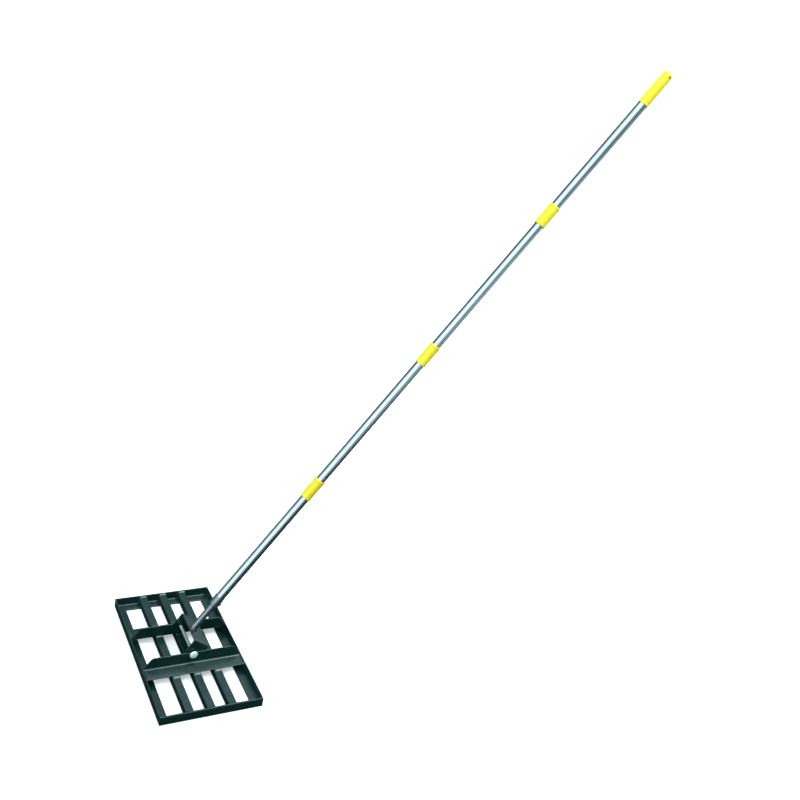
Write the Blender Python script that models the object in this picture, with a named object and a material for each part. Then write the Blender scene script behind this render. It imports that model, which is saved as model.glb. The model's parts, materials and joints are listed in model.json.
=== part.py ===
"""Lawn levelling rake: a welded steel frame that is pushed and pulled flat over the ground by a
long handle, which tilts on one through bolt and screws together from four sections.

Metres, +Z up. The origin is at the middle of the head's underside. +Y runs along the head's long
side, and +X is the way the handle leans. Handle pieces are built along a local +Z that runs up the
handle from the pivot bolt, with local +X on the handle's underside.
"""

import math

import bmesh
import bpy
from mathutils import Matrix, Vector

# Head frame: angle-iron rails, square-tube bars and two angle-iron cross members.
HEAD_LENGTH = 0.430
HEAD_WIDTH = 0.250
STEEL = 0.003
RAIL_LEG = 0.025
BAR_SIDE = 0.020
BAR_WALL = 0.002
BAR_PITCH = 0.052
CROSS_GAP = 0.107
CROSS_TREAD = 0.038
CROSS_HEIGHT = 0.033
CROSS_SLOPE = math.radians(52.0)
CROSS_SHOULDER = 0.014
ROOT_RADIUS = 0.0025

# Pivot: an M8 carriage bolt along Y, with a washer and a lock nut.
PIVOT_Z = 0.0465
BOLT_RADIUS = 0.004
BOLT_HOLE = 0.00435
BOLT_HEAD_RADIUS = 0.010
BOLT_HEAD_HEIGHT = 0.005
BOLT_TAIL = 0.004
WASHER_RADIUS = 0.0085
WASHER_THICKNESS = 0.0016
NUT_ACROSS_FLATS = 0.013
NUT_HEIGHT = 0.008

# Handle: every length is a distance from the pivot, measured up the handle. The spigot and all that
# it carries stand off the middle of the bracket's web, towards its upper edge.
HANDLE_ANGLE = math.radians(56.0)
BRACKET_LENGTH = 0.105
BRACKET_WIDTH = 0.046
WEB_OUTER = 0.034
SPIGOT_OFFSET = 0.008
SPIGOT_RADIUS = 0.0085
SPIGOT_WALL = 0.002
SPIGOT_END = 0.205
COLLAR_START = 0.112
COLLAR_END = 0.138
COLLAR_CUP = 0.0085
COLLAR_RADIUS = 0.0127
SCREW_AT = 0.1205
SCREW_RADIUS = 0.003
SCREW_HEAD_RADIUS = 0.0052
SCREW_HEAD_HEIGHT = 0.004
TUBE_RADIUS = 0.0115
TUBE_WALL = 0.0008
COUPLER_AT = 0.490
SECTION_PITCH = 0.422
COUPLER_LENGTH = 0.057
COUPLER_RADIUS = 0.0138
COUPLER_SOCKET = 0.008
THREAD_LENGTH = 0.0217
THREAD_PITCH = 0.0045
THREAD_CREST = 0.0089
THREAD_ROOT = 0.0080
PLUG_TAIL = 0.025
GRIP_START = 1.660
GRIP_END = 1.730
GRIP_RADIUS = 0.0128
CAP_RADIUS = 0.0122
CAP_END = 1.752
HANG_HOLE_AT = 1.7405
HANG_HOLE = 0.004

# Pieces that touch keep this gap, and round pieces have this many sides.
GAP = 0.0003
SIDES = 32

RAIL_INNER = STEEL + GAP
BAR_END = HEAD_LENGTH / 2 - RAIL_INNER
CROSS_END = HEAD_WIDTH / 2 - RAIL_INNER
CROSS_INNER = CROSS_GAP / 2
CROSS_OUTER = CROSS_INNER + STEEL
CROSS_BASE = BAR_SIDE + GAP
TUBE_BORE = TUBE_RADIUS - TUBE_WALL


def material(name, colour, roughness, metallic):
    made = bpy.data.materials.new(name)
    made.use_nodes = True
    shader = made.node_tree.nodes["Principled BSDF"]
    shader.inputs["Base Color"].default_value = (*colour, 1.0)
    shader.inputs["Roughness"].default_value = roughness
    shader.inputs["Metallic"].default_value = metallic
    return made


def green_paint(name):
    return material(name, (0.012, 0.075, 0.060), 0.35, 0.0)


def stainless(name):
    return material(name, (0.62, 0.63, 0.63), 0.28, 1.0)


def zinc(name):
    return material(name, (0.70, 0.71, 0.72), 0.32, 1.0)


def yellow_plastic(name):
    return material(name, (0.80, 0.72, 0.04), 0.38, 0.0)


def new_object(name, mesh_data, look, parent=None, smooth=False):
    """One named piece from a bmesh, with its own material."""
    bmesh.ops.recalc_face_normals(mesh_data, faces=mesh_data.faces)
    mesh = bpy.data.meshes.new(name)
    mesh_data.to_mesh(mesh)
    mesh_data.free()
    if smooth:
        mesh.shade_smooth()
        mesh.set_sharp_from_angle(angle=math.radians(40.0))
    made = bpy.data.objects.new(name, mesh)
    bpy.context.collection.objects.link(made)
    if look is not None:
        mesh.materials.append(look)
    made.parent = parent
    return made


def empty(name, location, parent=None, tilt=0.0):
    made = bpy.data.objects.new(name, None)
    bpy.context.collection.objects.link(made)
    made.location = location
    made.rotation_euler = (0.0, tilt, 0.0)
    made.parent = parent
    return made


def boolean(target, cutter, operation="DIFFERENCE"):
    cutter.hide_render = True
    cutter.display_type = "WIRE"
    modifier = target.modifiers.new(cutter.name, "BOOLEAN")
    modifier.operation = operation
    modifier.solver = "EXACT"
    modifier.object = cutter


def prism(outline, low, high, axis):
    """A closed outline, as pairs of the two other coordinates in X, Y, Z order, run along an axis."""

    def place(pair, along):
        point = list(pair)
        point.insert("XYZ".index(axis), along)
        return Vector(point)

    made = bmesh.new()
    ends = [[made.verts.new(place(pair, along)) for pair in outline] for along in (low, high)]
    made.faces.new(ends[0])
    made.faces.new(ends[1])
    for index in range(len(outline)):
        after = (index + 1) % len(outline)
        made.faces.new((ends[0][index], ends[0][after], ends[1][after], ends[1][index]))
    return made


def box_outline(low_a, high_a, low_b, high_b):
    return [(low_a, low_b), (high_a, low_b), (high_a, high_b), (low_a, high_b)]


def arc(centre, radius, start, end, steps):
    """Points on a circle from one angle in degrees to another, both ends included."""
    angles = [math.radians(start + (end - start) * step / steps) for step in range(steps + 1)]
    return [(centre[0] + radius * math.cos(a), centre[1] + radius * math.sin(a)) for a in angles]


def turned(profile, sides=SIDES):
    """A profile of (radius, height) pairs turned about Z. A profile that starts and ends on the
    axis makes a solid; any other is closed on itself and makes a ring."""
    made = bmesh.new()
    rings = []
    for radius, height in profile:
        if radius == 0.0:
            rings.append([made.verts.new((0.0, 0.0, height))])
            continue
        ring = []
        for side in range(sides):
            angle = 2.0 * math.pi * side / sides
            ring.append(made.verts.new((radius * math.cos(angle), radius * math.sin(angle), height)))
        rings.append(ring)
    solid = profile[0][0] == 0.0 and profile[-1][0] == 0.0
    pairs = list(zip(rings, rings[1:]))
    if not solid:
        pairs.append((rings[-1], rings[0]))
    for first, second in pairs:
        for side in range(sides):
            after = (side + 1) % sides
            corners = [first[side % len(first)], first[after % len(first)]]
            corners += [second[after % len(second)], second[side % len(second)]]
            corners = [corner for i, corner in enumerate(corners) if corner not in corners[:i]]
            made.faces.new(corners)
    return made


def lay_along_y(mesh_data):
    """Turns a piece built along Z so that its +Z end points to +Y."""
    bmesh.ops.rotate(mesh_data, verts=mesh_data.verts, matrix=Matrix.Rotation(-math.pi / 2, 3, "X"))
    return mesh_data


def rod(name, radius, low, high, axis="Z", parent=None, sides=SIDES):
    """A plain round cutter."""
    made = turned([(0.0, low), (radius, low), (radius, high), (0.0, high)], sides)
    if axis == "Y":
        lay_along_y(made)
    if axis == "X":
        bmesh.ops.rotate(made, verts=made.verts, matrix=Matrix.Rotation(math.pi / 2, 3, "Y"))
    return new_object(name, made, None, parent)


def angle_iron(width, height):
    """Outline of an angle iron: outer corner at (0, 0), a flat leg to +a, an upright leg to +b."""
    heel = arc((ROOT_RADIUS, ROOT_RADIUS), ROOT_RADIUS, 180.0, 270.0, 3)
    flat_toe = [(width, 0.0), (width, STEEL)]
    root_centre = (STEEL + ROOT_RADIUS, STEEL + ROOT_RADIUS)
    root = arc(root_centre, ROOT_RADIUS, 270.0, 180.0, 3)
    upright_toe = [(STEEL, height), (0.0, height)]
    return heel + flat_toe + root + upright_toe


def make_rail(name, length, heading, offset):
    """A rail of the outer frame with mitred ends. heading turns its outer face to the outside."""
    made = bmesh.new()
    outline = angle_iron(RAIL_LEG, RAIL_LEG)
    ends = []
    for sign in (-1.0, 1.0):
        ring = []
        for inward, height in outline:
            along = sign * (length / 2 - inward - GAP / math.sqrt(2.0))
            ring.append(made.verts.new((inward - offset, along, height)))
        ends.append(ring)
    made.faces.new(ends[0])
    made.faces.new(ends[1])
    for index in range(len(outline)):
        after = (index + 1) % len(outline)
        made.faces.new((ends[0][index], ends[0][after], ends[1][after], ends[1][index]))
    rail = new_object(name, made, green_paint(name))
    rail.rotation_euler = (0.0, 0.0, math.radians(heading))
    return rail


def make_frame():
    make_rail("side_rail_left", HEAD_LENGTH, 0.0, HEAD_WIDTH / 2)
    make_rail("side_rail_right", HEAD_LENGTH, 180.0, HEAD_WIDTH / 2)
    make_rail("end_rail_near", HEAD_WIDTH, 90.0, HEAD_LENGTH / 2)
    make_rail("end_rail_far", HEAD_WIDTH, 270.0, HEAD_LENGTH / 2)


def make_bar(name, x):
    """A square-tube bar, coped at both ends to stand over the flat leg of the end rail."""
    half = BAR_SIDE / 2
    outer = prism(box_outline(x - half, x + half, 0.0, BAR_SIDE), -BAR_END, BAR_END, "Y")
    bar = new_object(name, outer, green_paint(name))
    bore = box_outline(x - half + BAR_WALL, x + half - BAR_WALL, BAR_WALL, BAR_SIDE - BAR_WALL)
    boolean(bar, new_object(name + "_bore", prism(bore, -BAR_END - STEEL, BAR_END + STEEL, "Y"), None))
    toe = HEAD_LENGTH / 2 - RAIL_LEG - GAP
    root = STEEL + ROOT_RADIUS + GAP
    cope = [(toe, -STEEL), (HEAD_LENGTH / 2, -STEEL), (HEAD_LENGTH / 2, STEEL + GAP + root)]
    cope += [(HEAD_LENGTH / 2 - root, STEEL + GAP), (toe, STEEL + GAP)]
    for side, sign in (("near", -1.0), ("far", 1.0)):
        outline = [(sign * y, z) for y, z in cope]
        notch = prism(outline, x - BAR_SIDE, x + BAR_SIDE, "X")
        boolean(bar, new_object(f"{name}_cope_{side}", notch, None))


def make_cross_member(name, sign, hole):
    """An angle iron across the bars, its flat leg pointing away from the pivot and its upright leg
    holding the bolt. The upright leg slopes down at both ends, from rounded shoulders."""
    outline = [(sign * (CROSS_INNER + a), CROSS_BASE + b) for a, b in angle_iron(CROSS_TREAD, CROSS_HEIGHT)]
    member = new_object(name, prism(outline, -CROSS_END, CROSS_END, "X"), green_paint(name))
    top = CROSS_BASE + CROSS_HEIGHT
    foot = CROSS_BASE + STEEL + ROOT_RADIUS
    run = (top - foot) / math.tan(CROSS_SLOPE)
    shoulder = CROSS_END - run - CROSS_SHOULDER * math.tan(CROSS_SLOPE / 2)
    past_end = CROSS_END + STEEL
    steep = 90.0 - math.degrees(CROSS_SLOPE)
    slope = [(past_end, foot - STEEL * math.tan(CROSS_SLOPE))]
    slope += arc((shoulder, top - CROSS_SHOULDER), CROSS_SHOULDER, steep, 90.0, 8)
    slope += [(shoulder, top + STEEL), (past_end, top + STEEL)]
    for side, way in (("left", -1.0), ("right", 1.0)):
        corner = [(way * x, z) for x, z in slope]
        low, high = sorted((sign * (CROSS_INNER - STEEL), sign * (CROSS_OUTER + STEEL)))
        boolean(member, new_object(f"{name}_corner_{side}", prism(corner, low, high, "Y"), None))
    boolean(member, hole)


def make_pivot():
    """The carriage bolt, its washer and its lock nut, all on the pivot axis."""
    under_head = -CROSS_OUTER - GAP
    washer_face = CROSS_OUTER + GAP
    nut_face = washer_face + WASHER_THICKNESS + GAP
    tail = nut_face + NUT_HEIGHT + BOLT_TAIL
    dome = arc((0.0, 0.0), 1.0, 270.0, 360.0, 6)
    profile = [(x * BOLT_HEAD_RADIUS, under_head + y * BOLT_HEAD_HEIGHT) for x, y in dome]
    profile[0] = (0.0, profile[0][1])
    chamfer = BOLT_RADIUS / 4
    profile += [(BOLT_RADIUS, under_head), (BOLT_RADIUS, tail - chamfer)]
    profile += [(BOLT_RADIUS - chamfer, tail), (0.0, tail)]
    bolt = new_object("pivot_bolt", lay_along_y(turned(profile)), zinc("pivot_bolt"), smooth=True)

    washer_profile = [(BOLT_HOLE, washer_face), (WASHER_RADIUS, washer_face)]
    washer_profile += [(r, washer_face + WASHER_THICKNESS) for r in (WASHER_RADIUS, BOLT_HOLE)]
    washer = lay_along_y(turned(washer_profile))
    washer = new_object("pivot_washer", washer, zinc("pivot_washer"), smooth=True)

    corner = NUT_ACROSS_FLATS / math.sqrt(3.0)
    hexagon = arc((0.0, 0.0), corner, 0.0, 300.0, 5)
    nut = new_object("pivot_nut", prism(hexagon, nut_face, nut_face + NUT_HEIGHT, "Y"), zinc("pivot_nut"))
    nut_bore = rod("pivot_nut_bore", BOLT_HOLE, nut_face - STEEL, tail + STEEL, "Y")
    boolean(nut, nut_bore)
    for piece in (bolt, washer, nut, nut_bore):
        piece.location.z = PIVOT_Z


def make_bracket(pivot):
    """A U of flat steel: a web across the handle and two ears with round ends on the bolt."""
    reach = BRACKET_WIDTH / 2
    half = BRACKET_LENGTH / 2
    bend = arc((half - STEEL, WEB_OUTER - STEEL), STEEL, 0.0, 90.0, 4)
    outer = [(half, -reach)] + bend
    inner = [(half - STEEL, WEB_OUTER - STEEL), (half - STEEL, -reach)]
    left_outer = [(-y, s) for y, s in reversed(outer)]
    left_inner = [(-y, s) for y, s in reversed(inner)]
    outline = outer + left_outer + left_inner + inner
    channel = prism(outline, -reach, reach, "X")
    bracket = new_object("bracket", channel, green_paint("bracket"), pivot)
    side = arc((0.0, 0.0), reach - GAP, 180.0, 360.0, 20)
    side += [(reach - GAP, WEB_OUTER + STEEL), (GAP - reach, WEB_OUTER + STEEL)]
    side_view = new_object("bracket_side_view", prism(side, -half - STEEL, half + STEEL, "Y"), None, pivot)
    boolean(bracket, side_view, "INTERSECT")
    boolean(bracket, rod("bracket_hole", BOLT_HOLE, -half - STEEL, half + STEEL, "Y", pivot))


def make_spigot(handle):
    start = WEB_OUTER + GAP
    bore = SPIGOT_RADIUS - SPIGOT_WALL
    profile = [(bore, start), (SPIGOT_RADIUS, start), (SPIGOT_RADIUS, SPIGOT_END), (bore, SPIGOT_END)]
    new_object("spigot", turned(profile), green_paint("spigot"), handle, smooth=True)


def make_collar(handle):
    """A ring on the spigot. Its upper end is a cup that takes the end of the first tube."""
    chamfer = COLLAR_RADIUS - TUBE_RADIUS - 2 * GAP
    ledge = COLLAR_END - COLLAR_CUP
    profile = [(SPIGOT_RADIUS + GAP, COLLAR_START), (COLLAR_RADIUS - chamfer, COLLAR_START)]
    profile += [(COLLAR_RADIUS, COLLAR_START + chamfer), (COLLAR_RADIUS, COLLAR_END)]
    profile += [(TUBE_RADIUS + GAP, COLLAR_END), (TUBE_RADIUS + GAP, ledge), (SPIGOT_RADIUS + GAP, ledge)]
    collar = new_object("collar", turned(profile), green_paint("collar"), handle, smooth=True)
    hole = rod("collar_hole", SCREW_RADIUS + GAP, SPIGOT_RADIUS - STEEL, COLLAR_RADIUS + STEEL, "X", handle)
    hole.location.z = SCREW_AT
    boolean(collar, hole)


def make_lock_screw(handle):
    """A headed screw through the underside of the collar, its tip on the spigot."""
    tip = SPIGOT_RADIUS + GAP
    seat = COLLAR_RADIUS + GAP
    edge = SCREW_HEAD_RADIUS / 6
    profile = [(0.0, tip), (SCREW_RADIUS, tip), (SCREW_RADIUS, seat), (SCREW_HEAD_RADIUS, seat)]
    profile += [(SCREW_HEAD_RADIUS, seat + SCREW_HEAD_HEIGHT - edge)]
    profile += [(SCREW_HEAD_RADIUS - edge, seat + SCREW_HEAD_HEIGHT), (0.0, seat + SCREW_HEAD_HEIGHT)]
    screw = turned(profile, 24)
    bmesh.ops.rotate(screw, verts=screw.verts, matrix=Matrix.Rotation(math.pi / 2, 3, "Y"))
    placed = new_object("lock_screw", screw, zinc("lock_screw"), handle, smooth=True)
    placed.location.z = SCREW_AT


def make_tube(number, start, end, parent):
    """A thin stainless tube, with heights measured from its parent."""
    profile = [(TUBE_BORE, start), (TUBE_RADIUS, start), (TUBE_RADIUS, end), (TUBE_BORE, end)]
    name = f"tube_{number}"
    new_object(name, turned(profile), stainless(name), parent, smooth=True)


def make_coupler(number, parent, height):
    """A plastic sleeve fixed on the top of a tube. Its middle holds the thread and its mouth takes
    the end of the next tube."""
    half = COUPLER_LENGTH / 2
    mouth = half - COUPLER_SOCKET
    ledge = mouth - THREAD_LENGTH
    thread_bore = THREAD_CREST + GAP + GAP / 2
    socket = TUBE_RADIUS + GAP
    rim = (COUPLER_RADIUS - socket) / 2
    profile = [(socket, -half), (COUPLER_RADIUS - rim, -half), (COUPLER_RADIUS, rim - half)]
    profile += [(COUPLER_RADIUS, half - rim), (COUPLER_RADIUS - rim, half), (socket, half)]
    profile += [(socket, mouth), (thread_bore, mouth), (thread_bore, ledge), (socket, ledge)]
    name = f"coupler_{number}"
    coupler = new_object(name, turned(profile), yellow_plastic(name), parent, smooth=True)
    coupler.location.z = height


def make_threaded_plug(number, parent):
    """A plug fixed in the foot of a tube: its nose is threaded and its tail fills the tube."""
    mouth = COUPLER_LENGTH / 2 - COUPLER_SOCKET
    nose = mouth - THREAD_LENGTH + GAP
    profile = [(0.0, nose), (THREAD_ROOT, nose)]
    turns = int((THREAD_LENGTH - GAP) / THREAD_PITCH)
    for turn in range(turns):
        foot = nose + turn * THREAD_PITCH
        profile += [(THREAD_ROOT, foot + THREAD_PITCH * 0.25), (THREAD_CREST, foot + THREAD_PITCH * 0.45)]
        profile += [(THREAD_CREST, foot + THREAD_PITCH * 0.65), (THREAD_ROOT, foot + THREAD_PITCH * 0.85)]
    shoulder = mouth + STEEL
    profile += [(THREAD_ROOT, shoulder), (TUBE_BORE - GAP, shoulder)]
    profile += [(TUBE_BORE - GAP, mouth + PLUG_TAIL), (0.0, mouth + PLUG_TAIL)]
    name = f"threaded_plug_{number}"
    new_object(name, turned(profile, 24), yellow_plastic(name), parent, smooth=True)


def make_grip(section, foot):
    """The moulded sleeve on the top tube and the cap with its hanging hole. foot is the section's
    own distance from the pivot."""
    socket = TUBE_RADIUS + GAP
    start = GRIP_START - foot
    end = GRIP_END - foot
    rim = (GRIP_RADIUS - socket) / 2
    profile = [(socket, start), (GRIP_RADIUS - rim, start), (GRIP_RADIUS, start + rim)]
    profile += [(GRIP_RADIUS, end - rim), (GRIP_RADIUS - rim, end), (socket, end)]
    sleeve = turned(profile)
    new_object("grip_sleeve", sleeve, yellow_plastic("grip_sleeve"), section, smooth=True)

    shoulder = end + GAP
    top = CAP_END - foot
    rounding = (CAP_END - GRIP_END) / 2
    crown = arc((0.0, 0.0), 1.0, 0.0, 90.0, 7)
    profile = [(0.0, end - PLUG_TAIL), (TUBE_BORE - GAP, end - PLUG_TAIL)]
    profile += [(TUBE_BORE - GAP, shoulder), (CAP_RADIUS, shoulder)]
    flat = CAP_RADIUS / 3
    crown_reach = CAP_RADIUS - flat
    profile += [(flat + r * crown_reach, top - rounding + h * rounding) for r, h in crown]
    profile += [(0.0, top)]
    cap = new_object("end_cap", turned(profile), yellow_plastic("end_cap"), section, smooth=True)
    hole = rod("end_cap_hole", HANG_HOLE, -CAP_RADIUS - STEEL, CAP_RADIUS + STEEL, "Y", section, 24)
    hole.location.z = HANG_HOLE_AT - foot
    boolean(cap, hole)


def make_handle():
    """The bracket and the first tube tilt on the bolt, and each further section screws into the
    coupler below it."""
    pivot = empty("handle_pivot", (0.0, 0.0, PIVOT_Z), tilt=math.pi / 2 - HANDLE_ANGLE)
    make_bracket(pivot)
    handle = empty("handle_axis", (-SPIGOT_OFFSET, 0.0, 0.0), pivot)
    make_spigot(handle)
    make_collar(handle)
    make_lock_screw(handle)
    mouth = COUPLER_LENGTH / 2 - COUPLER_SOCKET
    tube_top = mouth - THREAD_LENGTH - GAP
    make_tube(1, COLLAR_END - COLLAR_CUP + GAP, COUPLER_AT + tube_top, handle)
    make_coupler(1, handle, COUPLER_AT)
    below = handle
    for number in (2, 3, 4):
        foot = COUPLER_AT + (number - 2) * SECTION_PITCH
        rise = COUPLER_AT if number == 2 else SECTION_PITCH
        section = empty(f"section_{number}_axis", (0.0, 0.0, rise), below)
        make_threaded_plug(number, section)
        if number < 4:
            make_tube(number, mouth + GAP, SECTION_PITCH + tube_top, section)
            make_coupler(number, section, SECTION_PITCH)
        else:
            make_tube(number, mouth + GAP, GRIP_END - foot, section)
            make_grip(section, foot)
        below = section


def main():
    for old in list(bpy.data.objects):
        bpy.data.objects.remove(old, do_unlink=True)
    make_frame()
    for side, place in (("left", -1.0), ("middle", 0.0), ("right", 1.0)):
        make_bar(f"bar_{side}", place * BAR_PITCH)
    pivot_hole = rod("pivot_hole", BOLT_HOLE, -CROSS_OUTER - STEEL, CROSS_OUTER + STEEL, "Y")
    pivot_hole.location.z = PIVOT_Z
    make_cross_member("cross_member_near", -1.0, pivot_hole)
    make_cross_member("cross_member_far", 1.0, pivot_hole)
    make_pivot()
    make_handle()


main()
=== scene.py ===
"""The looks of a lawn levelling rake: a painted steel frame that lies flat on the ground, and a long
handle of bright tubes and yellow plastic that tilts on one bolt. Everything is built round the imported
CAD frame, in metres and +Z up. Handle pieces use a frame of their own: +Z runs up the handle from the
pivot bolt, +Y along the bolt and +X on the handle's underside."""

import json
import math

import bmesh
import bpy
from mathutils import Matrix, Vector, noise


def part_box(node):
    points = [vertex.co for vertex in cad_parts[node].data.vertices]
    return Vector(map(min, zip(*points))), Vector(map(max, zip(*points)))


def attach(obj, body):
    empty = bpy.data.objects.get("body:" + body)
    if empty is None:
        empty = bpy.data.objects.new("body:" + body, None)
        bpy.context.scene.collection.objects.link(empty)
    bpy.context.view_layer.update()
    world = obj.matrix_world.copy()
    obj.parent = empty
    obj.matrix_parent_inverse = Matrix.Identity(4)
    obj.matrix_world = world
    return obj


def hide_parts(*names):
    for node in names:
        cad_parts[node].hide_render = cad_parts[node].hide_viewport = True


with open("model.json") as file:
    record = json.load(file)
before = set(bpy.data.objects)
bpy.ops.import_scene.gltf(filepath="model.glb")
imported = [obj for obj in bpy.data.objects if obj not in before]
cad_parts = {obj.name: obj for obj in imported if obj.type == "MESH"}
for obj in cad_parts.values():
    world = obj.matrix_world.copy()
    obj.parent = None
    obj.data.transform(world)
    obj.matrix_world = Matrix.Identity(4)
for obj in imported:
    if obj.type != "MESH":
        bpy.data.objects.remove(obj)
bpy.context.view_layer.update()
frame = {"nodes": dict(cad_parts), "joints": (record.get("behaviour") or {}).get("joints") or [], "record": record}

# Steel stock of the head, and the small radii that rolling and bending leave on it.
STEEL = 0.003
HEEL_RADIUS = 0.0028
ROOT_RADIUS = 0.0028
CROSS_ROOT = 0.0045
TOE_RADIUS = 0.0011
BAR_RADIUS = 0.0022
EDGE = 0.00035
CROSS_SLOPE = 52.0
CROSS_SHOULDER = 0.014
MITRE_GAP = 0.0002
COPE_GAP = 0.0003

# Welds: leg length of a fillet, and the distance between its ripples. A pair is how far a bead
# reaches up its wall and along its floor.
FILLET = 0.0034
SEAM_WIDTH = 0.0050
RIPPLE = 0.0017
RIPPLE_DEPTH = 0.12
WEAVE = 0.16
BEAD_SIDES = 14
BAR_END_WELD = (0.0045, 0.0070)
BAR_SIDE_WELD = 0.0030
CROSS_INNER_WELD = (0.0042, 0.0060)
CROSS_OUTER_WELD = (0.0034, 0.0095)
CROSS_SIDE_WELD = 0.0032

# Bolt, nut and screws.
BOLT_RADIUS = 0.004
HOLE_RADIUS = 0.00435
THREAD_PITCH = 0.00125
THREAD_DEPTH = 0.0005
NUT_FLATS = 0.013
SCREW_HOLE_RADIUS = 0.0033
SCREW_SHANK_RADIUS = 0.003
SCREW_SOCKET_RADIUS = 0.0028
SCREW_SOCKET_DEPTH = 0.0022

# Handle.
TUBE_WALL = 0.0008
SPIGOT_WALL = 0.002
FINE_SIDES = 96
HANG_HOLE_RADIUS = 0.004
COUPLER_RIM = 0.0050
COUPLER_FLUTES = 16
COUPLER_FLUTE_DEPTH = 0.00028
GRIP_RINGS = 3
GRIP_RING_PITCH = 0.0026
GRIP_RING_DEPTH = 0.0004
GRIP_RIBS = 20
GRIP_RIB_DEPTH = 0.00022

# Studio: the windows' directions, the cosines where their light starts and is full, and its strength.
WINDOWS = (((-0.70, -0.56, 0.38), 0.50, 0.97, 2.2), ((-1.0, 0.25, 0.0), 0.60, 0.95, 0.35))
WALL_TINT = (0.74, 0.97, 1.10)
BACKDROP = (1.1, 1.1, 1.1)
LIGHTS_AIM = (0.35, 0.0, 0.55)
FLOOR_RADIUS = 120.0
FLOOR_DROP = 0.0002

# Camera: azimuth, elevation and roll in degrees, the point it looks at, and its lens.
CAMERA_ANGLES = (-29.88, 25.06, 11.26)
CAMERA_TARGET = (0.299, 0.013, 0.689)
CAMERA_DISTANCE = 2.223
CAMERA_LENS = 43.03
CAMERA_SHIFT = 0.0758

JOINTS = {joint["name"]: joint for joint in frame["joints"]}
PIVOT = Vector(JOINTS["handle_tilt"]["pos_m"])
UP_HANDLE = Vector(JOINTS["section_2_unscrew"]["axis"]).normalized()
ALONG_BOLT = Vector((0.0, 1.0, 0.0))
# The bracket's frame starts at the bolt. The tubes' frame stands off it, level with the bolt.
BRACKET = Matrix((ALONG_BOLT.cross(UP_HANDLE), ALONG_BOLT, UP_HANDLE)).transposed().to_4x4()
BRACKET.translation = PIVOT
TO_COUPLER = Vector(JOINTS["section_2_unscrew"]["pos_m"]) - PIVOT
HANDLE = BRACKET.copy()
HANDLE.translation = PIVOT + TO_COUPLER - UP_HANDLE * TO_COUPLER.dot(UP_HANDLE)
# The bolt's own frame: +Z along the bolt, from its head to its nut.
BOLT = Matrix(((1, 0, 0), (0, 0, 1), (0, -1, 0))).to_4x4()
BOLT.translation = PIVOT
WORLD = Matrix.Identity(4)


# ---------------------------------------------------------------- measuring the frame


def span(node, matrix=HANDLE):
    """A node's lowest and highest point along a frame's Z, and its largest radius about it."""
    inverse = matrix.inverted()
    points = [inverse @ vertex.co for vertex in frame["nodes"][node].data.vertices]
    heights = [point.z for point in points]
    return min(heights), max(heights), max(point.xy.length for point in points)


# ---------------------------------------------------------------- mesh helpers


def arc(centre, radius, start, end, steps):
    """Points on a circle between two angles in degrees, both ends included."""
    points = []
    for step in range(steps + 1):
        angle = math.radians(start + (end - start) * step / steps)
        points.append((centre[0] + radius * math.cos(angle), centre[1] + radius * math.sin(angle)))
    return points


def rounded(corners, steps=5):
    """A closed outline from (x, y, radius) corners, each one rounded to its radius."""
    points = []
    for index, (x, y, radius) in enumerate(corners):
        here = Vector((x, y))
        before = (Vector(corners[index - 1][:2]) - here).normalized()
        after = (Vector(corners[(index + 1) % len(corners)][:2]) - here).normalized()
        if radius == 0.0:
            points.append((x, y))
            continue
        half = before.angle(after) / 2
        centre = here + (before + after).normalized() * (radius / math.sin(half))
        first = here + before * (radius / math.tan(half)) - centre
        last = here + after * (radius / math.tan(half)) - centre
        start = math.degrees(math.atan2(first.y, first.x))
        turn = (math.degrees(math.atan2(last.y, last.x)) - start + 180.0) % 360.0 - 180.0
        points += arc(centre, radius, start, start + turn, steps)
    return points


def skin(rings, loop=False):
    """A mesh over equal rings of points. Its ends are capped, unless the rings close on themselves."""
    made = bmesh.new()
    rows = [[made.verts.new(point) for point in ring] for ring in rings]
    pairs = list(zip(rows, rows[1:]))
    if loop:
        pairs.append((rows[-1], rows[0]))
    for first, second in pairs:
        for index in range(len(first)):
            after = (index + 1) % len(first)
            made.faces.new((first[index], first[after], second[after], second[index]))
    if not loop:
        made.faces.new(rows[0])
        made.faces.new(rows[-1])
    return made


def prism(outline, low, high, axis):
    """An outline, as pairs of the two other coordinates in X, Y, Z order, run along an axis."""
    place = "XYZ".index(axis)
    rings = []
    for along in (low, high):
        ring = [list(pair) for pair in outline]
        for point in ring:
            point.insert(place, along)
        rings.append(ring)
    return skin(rings)


def lathe(profile, sides=FINE_SIDES, shape=None):
    """A closed profile of (radius, height) pairs turned about Z. shape(angle, height, radius) may
    change the radius of any point."""
    rings = []
    for side in range(sides):
        angle = 2.0 * math.pi * side / sides
        ring = []
        for radius, height in profile:
            r = shape(angle, height, radius) if shape and radius > 0.0 else radius
            ring.append((r * math.cos(angle), r * math.sin(angle), height))
        rings.append(ring)
    made = skin(rings, loop=True)
    bmesh.ops.remove_doubles(made, verts=made.verts, dist=1e-7)
    return made


def rows(low, high, step):
    """Evenly spaced heights from low to high, no further apart than step."""
    count = max(1, math.ceil(abs(high - low) / step))
    return [low + (high - low) * index / count for index in range(count + 1)]


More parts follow.
